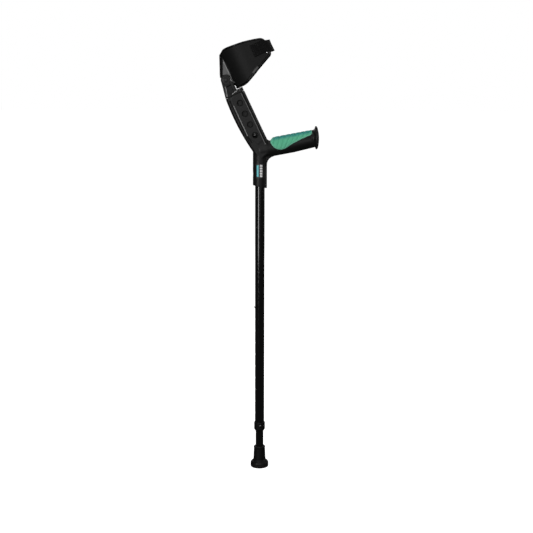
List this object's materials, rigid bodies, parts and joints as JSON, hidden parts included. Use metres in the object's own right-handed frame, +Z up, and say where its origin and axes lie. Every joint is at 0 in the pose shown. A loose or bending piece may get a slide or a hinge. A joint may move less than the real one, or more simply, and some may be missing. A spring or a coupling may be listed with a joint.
{
  "type": "forearm crutch",
  "caption": "Forearm crutch with a telescoping leg, a moulded hand grip with a soft insert, and a sliding, tilting arm cuff closed by a strap.",
  "frame": {"origin": "centre of the ferrule's tread, on the tube's axis, at the floor", "axes": "+Z up the tube, +X out along the hand grip, +Y away from the side with the cuff's setting button"},
  "size_m": [0.2063, 0.1012, 0.9178],
  "materials": {
    "moulded_black": "satin moulded nylon",
    "cuff_black": "satin moulded plastic",
    "tube_black": "gloss black anodised aluminium",
    "ferrule_rubber": "matte rubber",
    "soft_green": "soft moulded elastomer",
    "strap_web": "woven hook and loop webbing",
    "lining_foam": "knitted foam-backed lining",
    "spring_steel": "spring steel",
    "bright_steel": "polished steel",
    "dark_button": "glossy button",
    "white_nylon": "low-friction nylon",
    "badge": "printed plate"
  },
  "bodies": {
    "lower_leg": {"ferrule": "ferrule_rubber", "ferrule_washer": "spring_steel", "lower_tube": "tube_black", "lower_tube_guide": "white_nylon", "height_button_spring": "spring_steel"},
    "height_button": {"height_button": "bright_steel"},
    "upper_leg": {"upper_tube": "tube_black", "tube_collar": "moulded_black", "collar_bush": "white_nylon", "collar_stud": "bright_steel", "tube_plug": "moulded_black", "handle_body": "moulded_black", "grip_insert": "soft_green", "grip_end_cap": "moulded_black", "socket_screw": "bright_steel", "socket_badge": "badge"},
    "slider": {"cuff_slider": "moulded_black", "cuff_button_spring": "spring_steel", "pivot_pin": "dark_button", "pivot_washers": "white_nylon", "pivot_ring": "dark_button"},
    "setting_button": {"cuff_button": "dark_button"},
    "cuff": {"cuff_shell": "cuff_black", "cuff_lining": "lining_foam", "cuff_strap": "strap_web", "strap_hook_patch": "strap_web", "strap_rivets": "bright_steel"}
  },
  "joints": [
    {"name": "leg_slide", "type": "slide", "parent": "lower_leg", "child": "upper_leg", "axis": [0, 0, 1], "range_m": [0, 0.234], "deforming": ["height_button", "height_button_spring"]},
    {"name": "height_button_press", "type": "slide", "parent": "lower_leg", "child": "height_button", "axis": [1, 0, 0], "range_m": [0, 0.0034], "stiffness_N_per_m": 1200, "springref_m": -0.002, "deforming": ["height_button_spring"]},
    {"name": "cuff_slide", "type": "slide", "parent": "upper_leg", "child": "slider", "axis": [-0.4305, 0, 0.9026], "range_m": [0, 0.0726], "deforming": ["cuff_button", "cuff_button_spring"]},
    {"name": "setting_button_press", "type": "slide", "parent": "slider", "child": "setting_button", "axis": [0, 1, 0], "range_m": [0, 0.005], "stiffness_N_per_m": 1200, "springref_m": -0.002, "deforming": ["cuff_button_spring"]},
    {"name": "cuff_tilt", "type": "hinge", "parent": "slider", "child": "cuff", "pos_m": [-0.07038, 0, 0.83449], "axis": [0, 1, 0], "range_deg": [-25, 1.5]}
  ]
}
